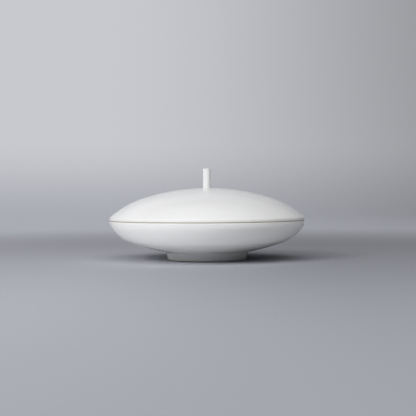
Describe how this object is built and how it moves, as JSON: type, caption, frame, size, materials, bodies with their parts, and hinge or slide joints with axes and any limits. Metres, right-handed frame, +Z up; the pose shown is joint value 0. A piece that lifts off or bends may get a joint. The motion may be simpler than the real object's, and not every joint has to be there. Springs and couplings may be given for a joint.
{
  "type": "soup bowl with lid",
  "caption": "Wide shallow porcelain soup bowl on a low foot ring, covered by a domed lift-off lid with a slim upright pin knob; satin white glaze.",
  "frame": {"origin": "centre of the foot ring's flat underside, on the table", "axes": "+Z up along the turning axis, through the knob; X and Y are equal in a turned form"},
  "size_m": [0.2, 0.2, 0.0933],
  "materials": {
    "bowl_glaze": "satin white glaze, bare rim",
    "foot_glaze": "satin white glaze, bare underside",
    "lid_glaze": "satin white glaze, bare seat",
    "knob_glaze": "satin white glaze"
  },
  "bodies": {
    "bowl_body": {"bowl": "bowl_glaze", "foot_ring": "foot_glaze"},
    "lid_body": {"lid": "lid_glaze", "knob": "knob_glaze"}
  },
  "joints": [
    {"name": "lid_lift", "type": "slide", "parent": "bowl_body", "child": "lid_body", "axis": [0, 0, 1], "range_m": [0, 0.12]}
  ]
}
